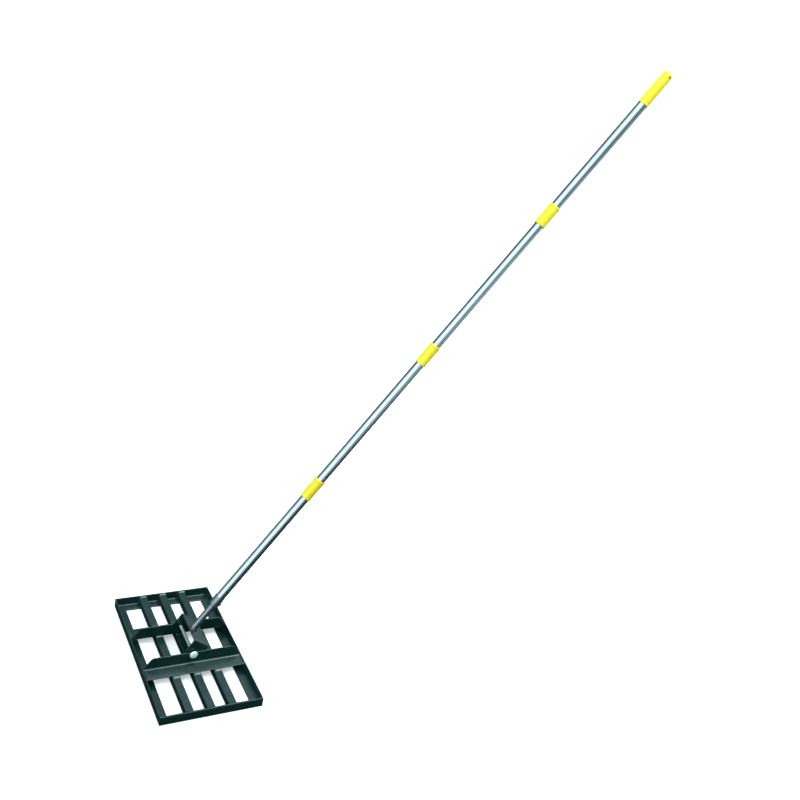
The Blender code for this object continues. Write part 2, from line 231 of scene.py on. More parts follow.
def piece(name, made, look, body, matrix=WORLD, node=None, bevel=0.0, sharp=35.0):
    """One visible piece, riding on its body. node is the CAD node that it stands for."""
    bmesh.ops.recalc_face_normals(made, faces=made.faces)
    mesh = bpy.data.meshes.new(name)
    made.to_mesh(mesh)
    made.free()
    mesh.shade_smooth()
    mesh.set_sharp_from_angle(angle=math.radians(sharp))
    mesh.materials.append(look)
    shown = bpy.data.objects.new(name, mesh)
    bpy.context.scene.collection.objects.link(shown)
    shown.matrix_world = matrix
    if bevel:
        edge = shown.modifiers.new("edges", "BEVEL")
        edge.width = bevel
        edge.segments = 3
        edge.limit_method = "ANGLE"
        edge.angle_limit = math.radians(sharp)
        edge.harden_normals = True
    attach(shown, body)
    if node:
        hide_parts(node)
    return shown


def cut(made, cutter, operation="DIFFERENCE"):
    """The mesh left when a Boolean with the cutter is applied. Both inputs are used up."""
    pair = []
    for label, source in (("kept", made), ("cutter", cutter)):
        bmesh.ops.recalc_face_normals(source, faces=source.faces)
        mesh = bpy.data.meshes.new(label)
        source.to_mesh(mesh)
        source.free()
        pair.append(bpy.data.objects.new(label, mesh))
        bpy.context.scene.collection.objects.link(pair[-1])
    boolean = pair[0].modifiers.new("cut", "BOOLEAN")
    boolean.operation = operation
    boolean.solver = "EXACT"
    boolean.object = pair[1]
    bpy.context.view_layer.update()
    evaluated = pair[0].evaluated_get(bpy.context.evaluated_depsgraph_get())
    result = bmesh.new()
    result.from_mesh(evaluated.data)
    for used in pair:
        bpy.data.objects.remove(used)
    return result


def rod(radius, low, high, axis="Z", centre=(0.0, 0.0, 0.0), sides=64):
    """A round cutter along an axis through a centre."""
    made = lathe([(0.0, low), (radius, low), (radius, high), (0.0, high)], sides)
    turn = {"Z": Matrix.Identity(3), "Y": Matrix.Rotation(-math.pi / 2, 3, "X")}
    turn["X"] = Matrix.Rotation(math.pi / 2, 3, "Y")
    bmesh.ops.rotate(made, verts=made.verts, matrix=turn[axis])
    bmesh.ops.translate(made, verts=made.verts, vec=centre)
    return made


def joined(meshes):
    """Several separate solids as one mesh."""
    whole = bmesh.new()
    for made in meshes:
        bmesh.ops.recalc_face_normals(made, faces=made.faces)
        mesh = bpy.data.meshes.new("part")
        made.to_mesh(mesh)
        made.free()
        whole.from_mesh(mesh)
        bpy.data.meshes.remove(mesh)
    return whole


# ---------------------------------------------------------------- materials


class Look:
    """A Principled material and the few nodes that its surface detail is made of."""

    def __init__(self, name, **sockets):
        self.material = bpy.data.materials.new(name)
        self.material.use_nodes = True
        self.tree = self.material.node_tree
        self.shader = self.tree.nodes["Principled BSDF"]
        for socket, value in sockets.items():
            self.shader.inputs[socket.replace("_", " ")].default_value = value
        self.place = self.tree.nodes.new("ShaderNodeTexCoord").outputs["Object"]

    def add(self, kind, inputs=(), **settings):
        made = self.tree.nodes.new(kind)
        for key, value in settings.items():
            setattr(made, key, value)
        for socket, value in dict(inputs).items():
            if isinstance(value, bpy.types.NodeSocket):
                self.tree.links.new(value, made.inputs[socket])
            else:
                made.inputs[socket].default_value = value
        return made

    def stretched(self, scale):
        """Object coordinates stretched by a scale on each axis."""
        mapping = self.add("ShaderNodeMapping", {"Vector": self.place, "Scale": scale})
        return mapping.outputs["Vector"]

    def noise(self, scale, detail=2.0, stretch=(1.0, 1.0, 1.0)):
        inputs = {"Vector": self.stretched(stretch), "Scale": scale, "Detail": detail}
        return self.add("ShaderNodeTexNoise", inputs).outputs["Fac"]

    def ramp(self, value, low, high, out_low=0.0, out_high=1.0):
        inputs = {"Value": value, "From Min": low, "From Max": high}
        inputs.update({"To Min": out_low, "To Max": out_high})
        return self.add("ShaderNodeMapRange", inputs).outputs["Result"]

    def maths(self, operation, first, second=0.0):
        return self.add("ShaderNodeMath", {0: first, 1: second}, operation=operation).outputs[0]

    def mix(self, factor, first, second):
        made = self.tree.nodes.new("ShaderNodeMix")
        made.data_type = "RGBA"
        for socket, value in ((0, factor), (6, first), (7, second)):
            if isinstance(value, bpy.types.NodeSocket):
                self.tree.links.new(value, made.inputs[socket])
            else:
                made.inputs[socket].default_value = value if socket == 0 else (*value, 1.0)
        return made.outputs[2]

    def bump(self, height, distance, before=None):
        inputs = {"Height": height, "Distance": distance, "Strength": 1.0}
        if before is not None:
            inputs["Normal"] = before
        return self.add("ShaderNodeBump", inputs).outputs["Normal"]

    def edges(self, radius):
        """1 on corners sharper than the radius and 0 on open faces."""
        soft = self.add("ShaderNodeBevel", {"Radius": radius}, samples=6).outputs["Normal"]
        hard = self.add("ShaderNodeNewGeometry").outputs["Normal"]
        inputs = {0: soft, 1: hard}
        alike = self.add("ShaderNodeVectorMath", inputs, operation="DOT_PRODUCT").outputs["Value"]
        return self.ramp(alike, 0.995, 0.90)

    def set(self, **sources):
        for socket, source in sources.items():
            self.tree.links.new(source, self.shader.inputs[socket.replace("_", " ")])
        return self.material


def green_paint(name, coat, coat_ior, coat_roughness):
    """Gloss powder coat: orange peel, faint cloudiness, thinner and paler over sharp edges."""
    look = Look(name, Specular_IOR_Level=0.5, Coat_Weight=coat, Coat_IOR=coat_ior,
                Coat_Roughness=coat_roughness)
    cloud = look.ramp(look.noise(14.0, 4.0), 0.3, 0.7)
    speckle = look.ramp(look.noise(900.0, 2.0), 0.45, 0.75)
    base = look.mix(cloud, (0.0002, 0.0115, 0.0092), (0.0004, 0.0170, 0.0135))
    base = look.mix(look.maths("MULTIPLY", speckle, 0.25), base, (0.002, 0.040, 0.033))
    thin = look.maths("MULTIPLY", look.edges(0.0009), 0.35)
    base = look.mix(thin, base, (0.035, 0.13, 0.12))
    dust = look.maths("MULTIPLY", look.ramp(look.noise(60.0, 6.0), 0.52, 0.75), 0.08)
    base = look.mix(dust, base, (0.08, 0.12, 0.12))
    peel = look.bump(look.noise(420.0, 2.0), 0.00006)
    fine = look.bump(look.noise(1500.0, 1.0), 0.00001, peel)
    rough = look.ramp(look.noise(35.0, 5.0), 0.3, 0.7, 0.26, 0.36)
    return look.set(Base_Color=base, Roughness=rough, Normal=fine)


def bright_tube():
    """Drawn stainless tube: polishing lines round it, long soft streaks and a faint weld line."""
    look = Look("stainless_tube", Metallic=1.0)
    lines = look.noise(1.0, 2.0, (60.0, 60.0, 2600.0))
    streaks = look.noise(1.0, 3.0, (160.0, 160.0, 6.0))
    clouds = look.ramp(look.noise(22.0, 4.0), 0.3, 0.7)
    tone = look.mix(clouds, (0.40, 0.425, 0.425), (0.47, 0.49, 0.485))
    dull = look.maths("MULTIPLY", look.ramp(streaks, 0.45, 0.8), 0.25)
    tone = look.mix(dull, tone, (0.30, 0.32, 0.33))
    specks = look.maths("MULTIPLY", look.ramp(look.noise(500.0, 3.0), 0.66, 0.8), 0.2)
    tone = look.mix(specks, tone, (0.27, 0.28, 0.28))
    rough = look.ramp(lines, 0.3, 0.7, 0.22, 0.30)
    coords = look.add("ShaderNodeSeparateXYZ", {"Vector": look.place})
    angle = look.maths("ARCTAN2", coords.outputs["Y"], coords.outputs["X"])
    from_seam = look.maths("ABSOLUTE", look.maths("SUBTRACT", angle, 0.6))
    seam = look.ramp(from_seam, 0.0, 0.035, 1.0, 0.0)
    normal = look.bump(lines, 0.000003)
    normal = look.bump(look.noise(30.0, 2.0), 0.00006, normal)
    normal = look.bump(seam, 0.00002, normal)
    return look.set(Base_Color=tone, Roughness=rough, Normal=normal)


def zinc_plate():
    """Bright zinc on the fasteners: cloudy, with a trace of blue and straw tint. The bolt's shank, from the
    near upright's inner face on, is painted darker as shade between the uprights and the bracket."""
    look = Look("zinc_plate", Metallic=0.35)
    clouds = look.ramp(look.noise(240.0, 5.0), 0.3, 0.7)
    tone = look.mix(clouds, (0.72, 0.75, 0.78), (0.88, 0.88, 0.86))
    tone = look.mix(look.maths("MULTIPLY", look.edges(0.0004), 0.5), tone, (0.92, 0.92, 0.92))
    coords = look.add("ShaderNodeSeparateXYZ", {"Vector": look.place})
    squares = [look.maths("MULTIPLY", coords.outputs[way], coords.outputs[way]) for way in "XY"]
    off_axis = look.maths("SQRT", look.maths("ADD", *squares))
    # Painted shade: the shank past the near upright's inner face is mixed towards dark grey, standing in for the
    # shade between the uprights and the bracket ears.
    shank = look.maths("GREATER_THAN", coords.outputs["Z"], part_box("cross_member_near")[1].y)
    inside = look.ramp(off_axis, BOLT_RADIUS, BOLT_RADIUS + 0.0003, 0.75, 0.0)
    shank_painted_shade = look.maths("MULTIPLY", shank, inside)
    tone = look.mix(shank_painted_shade, tone, (0.20, 0.23, 0.23))
    rough = look.ramp(look.noise(600.0, 4.0), 0.3, 0.7, 0.36, 0.52)
    normal = look.bump(look.noise(1400.0, 3.0), 0.000012)
    return look.set(Base_Color=tone, Roughness=rough, Normal=normal)


def yellow_plastic():
    """Moulded polypropylene: a fine matt skin, faint flow clouds and paler worn edges."""
    look = Look("yellow_plastic", Specular_IOR_Level=0.5, Subsurface_Weight=0.12, Subsurface_Scale=0.002)
    look.shader.inputs["Subsurface Radius"].default_value = (1.0, 0.8, 0.2)
    flow = look.ramp(look.noise(1.0, 4.0, (60.0, 60.0, 18.0)), 0.3, 0.7)
    base = look.mix(flow, (0.76, 0.55, 0.003), (0.84, 0.62, 0.007))
    specks = look.maths("MULTIPLY", look.ramp(look.noise(1100.0, 2.0), 0.6, 0.8), 0.2)
    base = look.mix(specks, base, (0.60, 0.50, 0.03))
    base = look.mix(look.maths("MULTIPLY", look.edges(0.0005), 0.3), base, (0.92, 0.84, 0.24))
    rough = look.ramp(look.noise(90.0, 4.0), 0.3, 0.7, 0.30, 0.44)
    skin_bump = look.bump(look.noise(2200.0, 2.0), 0.00002)
    sink = look.bump(look.noise(45.0, 2.0), 0.00012, skin_bump)
    return look.set(Base_Color=base, Roughness=rough, Normal=sink)


def nylon():
    look = Look("nylon_ring", Subsurface_Weight=0.2, Subsurface_Scale=0.002, Roughness=0.45)
    clouds = look.ramp(look.noise(400.0, 3.0), 0.3, 0.7)
    base = look.mix(clouds, (0.55, 0.60, 0.62), (0.66, 0.70, 0.71))
    return look.set(Base_Color=base, Normal=look.bump(look.noise(1500.0, 2.0), 0.00001))


PAINT = green_paint("green_paint", 0.4, 1.5, 0.16)
THICK_PAINT = green_paint("green_paint_thick", 1.0, 2.4, 0.34)
TUBE = bright_tube()
ZINC = zinc_plate()
YELLOW = yellow_plastic()
NYLON = nylon()


# ---------------------------------------------------------------- welds


def bead(path, side, out, width, height, depth, seed, closed=False):
    """A weld bead along a path. side and out give, at each share of the way, the directions across
    the bead and away from the metal. The ripples are crescents, as a welder's hand leaves them."""
    length = sum((b - a).length for a, b in zip(path, path[1:]))
    count = max(6, round(length / RIPPLE * 5))
    rings = []
    travelled = [0.0]
    for a, b in zip(path, path[1:]):
        travelled.append(travelled[-1] + (b - a).length)
    for index in range(count if closed else count + 1):
        share = index / count
        target = share * length
        leg = max(i for i, d in enumerate(travelled[:-1]) if d <= target + 1e-9)
        local = (target - travelled[leg]) / (travelled[leg + 1] - travelled[leg])
        centre = path[leg].lerp(path[leg + 1], local)
        forward = (path[leg + 1] - path[leg]).normalized()
        phase = target / RIPPLE + 0.35 * noise.noise((seed, target * 300.0, 0.0))
        ripple = 1.0 + RIPPLE_DEPTH * (abs((phase % 1.0) - 0.5) * 2.0 - 0.5)
        wander = 1.0 + WEAVE * noise.noise((seed + 5.0, target * 160.0, 0.0))
        taper = 1.0
        if not closed:
            near_end = min(target, length - target) / (width * 0.55)
            taper = math.sqrt(max(0.02, 1.0 - (1.0 - min(1.0, near_end)) ** 2))
        across, away = side(share), out(share)
        ring = []
        for side_number in range(BEAD_SIDES):
            angle = 2.0 * math.pi * side_number / BEAD_SIDES
            rise = height * ripple if math.sin(angle) > 0.0 else depth
            lag = RIPPLE * 0.9 * max(0.0, math.sin(angle))
            point = centre + across * (width / 2 * wander * taper * math.cos(angle))
            point = point + away * (rise * taper * math.sin(angle)) - forward * lag * (taper > 0.99)
            ring.append(point)
        rings.append(ring)
    return skin(rings, loop=closed)


def fillet(start, end, wall, floor, seed, leg=FILLET, run=None):
    """A bead in the corner between two surfaces. wall and floor point from the corner up each one,
    and leg and run are how far the bead reaches up them."""
    run = run or leg
    lift = (wall * leg + floor * run) * 0.40
    side = (floor * run - wall * leg).normalized()
    out = (wall * run + floor * leg).normalized()
    return bead([start + lift, end + lift], lambda t: side, lambda t: out,
                math.hypot(leg, run) * 0.95, leg * 0.28, leg * 0.55, seed)


# ---------------------------------------------------------------- head


def rail_outline(reach, height, root=ROOT_RADIUS):
    """Angle iron with a round heel, a filleted root and softened toes, as (inward, up) pairs."""
    corners = [(0.0, 0.0, HEEL_RADIUS), (reach, 0.0, TOE_RADIUS), (reach, STEEL, TOE_RADIUS)]
    corners += [(STEEL, STEEL, root), (STEEL, height, TOE_RADIUS), (0.0, height, TOE_RADIUS)]
    return rounded(corners)


def make_rails():
    """Each rail is mitred, so its length shrinks with the distance in from its outer face."""
    low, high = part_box("side_rail_left")
    leg = high.x - low.x
    half_long = (high.y - low.y) / 2 + MITRE_GAP
    half_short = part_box("side_rail_right")[1].x
    plan = (("side_rail_left", half_long, 0.0, half_short),
            ("side_rail_right", half_long, 180.0, half_short),
            ("end_rail_near", half_short, 90.0, half_long),
            ("end_rail_far", half_short, 270.0, half_long))
    for name, half, heading, offset in plan:
        rings = []
        for along in rows(-1.0, 1.0, 0.05):
            ring = [(u - offset, along * (half - u - MITRE_GAP), z)
                    for u, z in rail_outline(leg, high.z)]
            rings.append(ring)
        made = skin(rings)
        turn = Matrix.Rotation(math.radians(heading), 3, "Z")
        bmesh.ops.rotate(made, verts=made.verts, matrix=turn)
        piece(name + "_shell", made, PAINT, "head", node=name, bevel=EDGE)


def make_bars():
    """Square tubes with rounded corners, notched at both ends over the end rails."""
    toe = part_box("end_rail_far")[0].y - COPE_GAP
    for side in ("left", "middle", "right"):
        name = f"bar_{side}"
        low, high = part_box(name)
        step = STEEL + COPE_GAP
        slope = HEEL_RADIUS + COPE_GAP
        half = [(0.0, low.z), (toe, low.z), (toe, low.z + step), (high.y - slope, low.z + step)]
        half += [(high.y, low.z + step + slope), (high.y, high.z)]
        outline = half + [(-y, z) for y, z in reversed(half)]
        outline.pop()
        made = prism(outline, low.x, high.x, "X")
        piece(name + "_shell", made, PAINT, "head", node=name, bevel=BAR_RADIUS)


def make_cross_members():
    """Angle irons whose upright legs carry the bolt. They slope down at both ends, from rounded
    shoulders."""
    for side, sign in (("near", -1.0), ("far", 1.0)):
        name = f"cross_member_{side}"
        low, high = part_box(name)
        inner = min(abs(low.y), abs(high.y))
        tread = high.y - low.y
        profile = rail_outline(tread, high.z - low.z, CROSS_ROOT)
        outline = [(sign * (inner + u), low.z + z) for u, z in profile]
        rings = [[(x, y, z) for y, z in outline] for x in rows(low.x, high.x, 0.02)]
        made = skin(rings)
        beyond = STEEL * 2
        foot = low.z + STEEL + ROOT_RADIUS
        rise = math.tan(math.radians(CROSS_SLOPE))
        half_turn = math.tan(math.radians(CROSS_SLOPE / 2))
        shoulder = high.x - (high.z - foot) / rise - CROSS_SHOULDER * half_turn
        slope = [(high.x + beyond, foot - beyond * rise)]
        slope += arc((shoulder, high.z - CROSS_SHOULDER), CROSS_SHOULDER, 90.0 - CROSS_SLOPE, 90.0, 20)
        slope += [(shoulder, high.z + beyond), (high.x + beyond, high.z + beyond)]
        for way in (-1.0, 1.0):
            corner = [(way * x, z) for x, z in slope]
            reach = sorted((sign * (inner - beyond), sign * (inner + STEEL + ROOT_RADIUS)))
            made = cut(made, prism(corner, *reach, "Y"))
        hole = rod(HOLE_RADIUS, low.y - beyond, high.y + beyond, "Y", (0.0, 0.0, PIVOT.z))
        made = cut(made, hole)
        piece(name + "_shell", made, PAINT, "head", node=name, bevel=EDGE)


def make_frame_welds():
    """Beads in the frame's corners, round the bar ends, and under and over the cross members."""
    _, side_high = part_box("side_rail_right")
    _, end_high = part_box("end_rail_far")
    inner_x = side_high.x - STEEL
    inner_y = end_high.y - STEEL
    leg = side_high.z
    up = Vector((0.0, 0.0, 1.0))
    corners, ends, members = [], [], []
    seed = 1.0
    for sx in (-1.0, 1.0):
        for sy in (-1.0, 1.0):
            inward_x, inward_y = Vector((-sx, 0.0, 0.0)), Vector((0.0, -sy, 0.0))
            root = Vector((sx * inner_x, sy * inner_y, 0.0))
            seed += 1.0
            top = root + up * (leg - 0.001)
            corners.append(fillet(root + up * STEEL, top, inward_x, inward_y, seed))
            diagonal = (inward_x + inward_y).normalized()
            across = (inward_x - inward_y).normalized()
            start = root + up * STEEL + diagonal * 0.004
            finish = root + up * STEEL + diagonal * ((leg - STEEL) * 1.36)
            corners.append(bead([start, finish], lambda t, a=across: a, lambda t: up,
                                SEAM_WIDTH, 0.0009, 0.0012, seed + 0.5))
    for side in ("left", "middle", "right"):
        low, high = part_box(f"bar_{side}")
        for sy in (-1.0, 1.0):
            seed += 1.0
            back = Vector((0.0, -sy, 0.0))
            top_left = Vector((low.x + 0.001, sy * inner_y, high.z))
            top_right = Vector((high.x - 0.001, sy * inner_y, high.z))
            ends.append(fillet(top_left, top_right, up, back, seed, *BAR_END_WELD))
            for x, way in ((low.x, -1.0), (high.x, 1.0)):
                foot = Vector((x, sy * inner_y, STEEL + 0.001))
                head = Vector((x, sy * inner_y, high.z - 0.001))
                outward = Vector((way, 0.0, 0.0))
                ends.append(fillet(foot, head, outward, back, seed + way * 0.3, BAR_SIDE_WELD))
        for member, sy in (("near", -1.0), ("far", 1.0)):
            box_low, box_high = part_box(f"cross_member_{member}")
            inner, outer = sorted((abs(box_low.y), abs(box_high.y)))
            for y, facing, weld in ((inner, -sy, CROSS_INNER_WELD), (outer, sy, CROSS_OUTER_WELD)):
                seed += 1.0
                ahead = Vector((0.0, facing, 0.0))
                start = Vector((low.x + 0.0015, sy * y, high.z))
                finish = Vector((high.x - 0.0015, sy * y, high.z))
                members.append(fillet(start, finish, up, ahead, seed, *weld))
    for member, sy in (("near", -1.0), ("far", 1.0)):
        low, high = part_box(f"cross_member_{member}")
        inner, outer = sorted((abs(low.y), abs(high.y)))
        for sx in (-1.0, 1.0):
            seed += 1.0
            start = Vector((sx * inner_x, sy * (inner + STEEL + 0.002), low.z + STEEL))
            finish = Vector((sx * inner_x, sy * (outer - 0.001), low.z + STEEL))
            inward = Vector((-sx, 0.0, 0.0))
            members.append(fillet(start, finish, up * 0.7, inward, seed, CROSS_SIDE_WELD))
    for name, beads, node in (("welds_frame_corners", corners, "side_rail_left"),
                              ("welds_bar_ends", ends, "bar_middle"),
                              ("welds_cross_members", members, "cross_member_near")):
        piece(name, joined(beads), PAINT, "head", sharp=80.0)


# ---------------------------------------------------------------- pivot


def thread(height, angle, crest):
    """Radius of a 60 degree thread at a height and angle."""
    phase = (height / THREAD_PITCH - angle / (2.0 * math.pi)) % 1.0
    return crest - THREAD_DEPTH * min(1.0, max(0.0, abs(phase - 0.5) * 2.4 - 0.1))


def make_pivot():
    """Carriage bolt with a low dome and a threaded tail, a stamped washer and a nylon lock nut."""
    low, high, radius = span("pivot_bolt", BOLT)
    _, member_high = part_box("cross_member_near")
    seat = member_high.y - STEEL - COPE_GAP
    rim = 0.0009
    crown = arc((0.0, 0.0), 1.0, 0.0, 90.0, 14)
    profile = [(BOLT_RADIUS, high - 0.0006), (BOLT_RADIUS - 0.0006, high), (0.0, high), (0.0, low)]
    profile += [(radius * x, seat - rim - (seat - rim - low) * y) for x, y in reversed(crown)][1:]
    profile += [(radius, seat - rim * 0.4), (radius - rim * 0.6, seat), (BOLT_RADIUS, seat)]
    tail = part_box("pivot_washer")[0].y - 0.020
    profile += [(BOLT_RADIUS, height) for height in rows(seat + 0.001, tail, 0.01)]
    profile += [(BOLT_RADIUS, height) for height in rows(tail + 0.0002, high - 0.0008, THREAD_PITCH / 8)]

    def threaded(angle, height, r):
        if height < tail or r < BOLT_RADIUS * 0.99:
            return r
        return thread(height, angle, BOLT_RADIUS)

    piece("pivot_bolt_shell", lathe(profile, 64, threaded), ZINC, "head", BOLT, "pivot_bolt", sharp=30.0)

    low, high, radius = span("pivot_washer", BOLT)
    ring = rounded([(HOLE_RADIUS, low, 0.0003), (radius, low, 0.0006), (radius, high, 0.0003),
                    (HOLE_RADIUS, high, 0.0006)], 3)
    piece("pivot_washer_shell", lathe(ring, 64), ZINC, "head", BOLT, "pivot_washer")

    low, high, radius = span("pivot_nut", BOLT)
    collar = low + (high - low) * 0.68
    chamfer = 0.0011

    def hexagon(angle, height, r):
        if r < NUT_FLATS / 2 - 0.0001:
            return r
        flat = NUT_FLATS / 2 / math.cos((angle % (math.pi / 3)) - math.pi / 6)
        cone = NUT_FLATS / 2 + 1.7 * min(height - low, collar - height) - 0.0001
        return min(flat, cone, radius)

    outer = [(NUT_FLATS / 2, h) for h in rows(low, low + chamfer, chamfer / 6)]
    outer += [(NUT_FLATS / 2, h) for h in rows(collar - chamfer, collar, chamfer / 6)]
    dome = NUT_FLATS / 2 - 0.0009
    profile = [(HOLE_RADIUS, low + 0.0005), (HOLE_RADIUS + 0.0005, low)] + outer
    profile += [(dome, collar + 0.0001), (dome, high - 0.0008)]
    profile += [(dome - 0.0007, high), (dome - 0.0013, high)]
    profile += [(dome - 0.0013, high - 0.0004), (HOLE_RADIUS, high - 0.0004)]
    piece("pivot_nut_shell", lathe(profile, 96, hexagon), ZINC, "head", BOLT, "pivot_nut", sharp=28.0)
    inner = [(HOLE_RADIUS - 0.0001, high - 0.0006), (dome - 0.0015, high - 0.0006)]
    inner += [(dome - 0.0015, high - 0.0001), (dome - 0.0019, high + 0.0001)]
    inner += [(HOLE_RADIUS + 0.0004, high + 0.0001), (HOLE_RADIUS - 0.0001, high - 0.0002)]
    piece("nylon_ring", lathe(inner, 64), NYLON, "head", BOLT)


# ---------------------------------------------------------------- handle foot


def make_bracket():
    """Flat steel bent to a U, its ears rounded about the bolt."""
    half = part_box("bracket")[1].y
    inverse = BRACKET.inverted()
    points = [inverse @ vertex.co for vertex in frame["nodes"]["bracket"].data.vertices]
    reach = max(point.x for point in points)
    web = max(point.z for point in points)
    inside, outside = 0.0022, 0.0048
    corners = [(half, -reach - STEEL, 0.0), (half, web, outside), (-half, web, outside)]
    corners += [(-half, -reach - STEEL, 0.0), (STEEL - half, -reach - STEEL, 0.0)]
    corners += [(STEEL - half, web - STEEL, inside), (half - STEEL, web - STEEL, inside)]
    corners += [(half - STEEL, -reach - STEEL, 0.0)]
    made = prism(rounded(corners, 8), -reach - STEEL, reach + STEEL, "X")
    side = arc((0.0, 0.0), reach, 180.0, 360.0, 40)
    side += rounded([(reach, web + STEEL, 0.0), (-reach, web + STEEL, 0.0)])
    made = cut(made, prism(side, -half - STEEL, half + STEEL, "Y"), "INTERSECT")
    made = cut(made, rod(HOLE_RADIUS, -half - STEEL, half + STEEL, "Y"))
    piece("bracket_shell", made, PAINT, "handle_foot", BRACKET, "bracket", bevel=EDGE)

    _, _, spigot = span("spigot")
    steps = 72
    off = FILLET * 0.42
    flat = spigot + off
    ring = []
    for step in range(steps + 1):
        angle = 2.0 * math.pi * step / steps
        ring.append(Vector((flat * math.cos(angle), flat * math.sin(angle), web + off)))

    def radial(share):
        angle = 2.0 * math.pi * share
        return Vector((math.cos(angle), math.sin(angle), 0.0))

    lift = Vector((0.0, 0.0, 1.0))
    foot = bead(ring, lambda t: (radial(t) - lift).normalized(),
                lambda t: (radial(t) + lift).normalized(),
                FILLET * 1.5, FILLET * 0.3, FILLET * 0.6, 40.0, closed=True)
    piece("weld_spigot", foot, PAINT, "handle_foot", HANDLE, sharp=80.0)


def make_spigot_and_collar():
    """The green tube welded to the bracket, and the ring on it that takes the first tube."""
    start, end, radius = span("spigot")
    bore = radius - SPIGOT_WALL
    heights = rows(start, end, 0.01)
    profile = [(radius, h) for h in heights[:-1]] + [(radius, end - 0.0008), (radius - 0.0008, end)]
    profile += [(bore, h) for h in reversed(heights)]
    piece("spigot_shell", lathe(profile, 64), THICK_PAINT, "handle_foot", HANDLE, "spigot", sharp=50.0)

    start, end, outer = span("collar")
    tube_start, _, tube_radius = span("tube_1")
    ledge = tube_start - COPE_GAP
    cup = tube_radius + COPE_GAP
    lip = 0.0003
    profile = rounded([(radius + COPE_GAP, start, 0.0), (outer - 0.0002, start, 0.0014),
                       (outer - 0.0002, end, lip), (cup, end, lip), (cup, ledge, 0.0),
                       (radius + COPE_GAP, ledge, 0.0)], 6)
    made = lathe(profile)
    seat = screw_size()[0]
    hole = rod(SCREW_HOLE_RADIUS, radius - STEEL, outer + STEEL, "X", (0.0, 0.0, seat))
    made = cut(made, hole)
    piece("collar_shell", made, THICK_PAINT, "handle_foot", HANDLE, "collar", bevel=0.0002)


def screw_size():
    """The lock screw's height up the handle, its tip and head along its own axis, and its radius."""
    inverse = HANDLE.inverted()
    points = [inverse @ vertex.co for vertex in frame["nodes"]["lock_screw"].data.vertices]
    low, high = min(p.z for p in points), max(p.z for p in points)
    return (low + high) / 2, (min(p.x for p in points), max(p.x for p in points)), (high - low) / 2


def make_lock_screw():
    """A socket screw with a knurled head."""
    height, (tip, top), radius = screw_size()
    shank = SCREW_SHANK_RADIUS
    seat = top - 0.004
    edge = 0.0005
    profile = [(0.0, tip), (shank - edge, tip), (shank, tip + edge)]
    profile += [(shank, seat), (radius - edge, seat)]
    profile += [(radius, h) for h in rows(seat + edge, top - edge * 1.6, 0.0005)]
    profile += [(radius - edge, top), (0.0, top)]

    def knurl(angle, h, r):
        return r - 0.00022 * abs(math.sin(angle * 18.0)) if r > radius - 0.0001 else r

    made = lathe(profile, 144, knurl)
    hexagon = arc((0.0, 0.0), SCREW_SOCKET_RADIUS, 0.0, 300.0, 5)
    made = cut(made, prism(hexagon, top - SCREW_SOCKET_DEPTH, top + STEEL, "Z"))
    bmesh.ops.rotate(made, verts=made.verts, matrix=Matrix.Rotation(math.pi / 2, 3, "Y"))
    bmesh.ops.translate(made, verts=made.verts, vec=(0.0, 0.0, height))
    piece("lock_screw_shell", made, ZINC, "handle_foot", HANDLE, "lock_screw", sharp=30.0)


# ---------------------------------------------------------------- tubes, couplers and grip


def make_tubes():
    """Thin tubes. Two punched dimples hold the threaded plug in the foot of each upper section."""
    bodies = ("handle_foot", "section_2", "section_3", "section_4")
    for number, body in enumerate(bodies, 1):
        start, end, radius = span(f"tube_{number}")
        bore = radius - TUBE_WALL
        dimple_at = start + 0.020
        heights = rows(start, dimple_at - 0.004, 0.008)
        heights += rows(dimple_at - 0.0035, dimple_at + 0.0035, 0.0005)
        heights += rows(dimple_at + 0.004, end, 0.03)

        def dimpled(angle, height, r, plain=(number == 1), centre=dimple_at, outside=radius):
            if plain or r < outside - 0.0001:
                return r
            around = (abs(math.sin(angle)) - 1.0) * outside * 6.0
            distance = math.hypot(around, height - centre) / 0.0016
            return r - 0.0006 * math.exp(-distance * distance)

        profile = [(radius, h) for h in heights] + [(bore, end), (bore, start)]
        made = lathe(profile, FINE_SIDES, dimpled)
        piece(f"tube_{number}_shell", made, TUBE, body, HANDLE, f"tube_{number}", sharp=50.0)


def make_couplers():
    """Moulded sleeves with raised rims and shallow flutes for the hand."""
    bodies = ("handle_foot", "section_2", "section_3")
    for number, body in enumerate(bodies, 1):
        start, end, radius = span(f"coupler_{number}")
        _, _, tube = span(f"tube_{number}")
        bore = tube + COPE_GAP
        rim = COUPLER_RIM
        body_radius = radius - 0.00035
        heights = rows(start + rim + 0.0012, end - rim - 0.0012, 0.002)
        lower = [(bore, start + 0.0003), (bore + 0.0003, start), (radius - 0.0006, start)]
        lower += [(radius - 0.0003, start + 0.0004), (radius, start + 0.0011), (radius, start + rim)]
        upper = [(radius, end - rim), (radius, end - 0.0011), (radius - 0.0003, end - 0.0004)]
        upper += [(radius - 0.0006, end), (bore + 0.0003, end), (bore, end - 0.0003)]
        profile = lower + [(body_radius, h) for h in heights] + upper
        first, last = heights[0], heights[-1]

        def fluted(angle, height, r, centre=body_radius, low=first, high=last):
            if abs(r - centre) > 1e-6:
                return r
            fade = min(1.0, max(0.0, min(height - low, high - height) / 0.004))
            groove = (0.5 - 0.5 * math.cos(angle * COUPLER_FLUTES)) ** 2
            return r - COUPLER_FLUTE_DEPTH * fade * groove

        made = lathe(profile, 128, fluted)
        piece(f"coupler_{number}_shell", made, YELLOW, body, HANDLE, f"coupler_{number}", sharp=40.0)


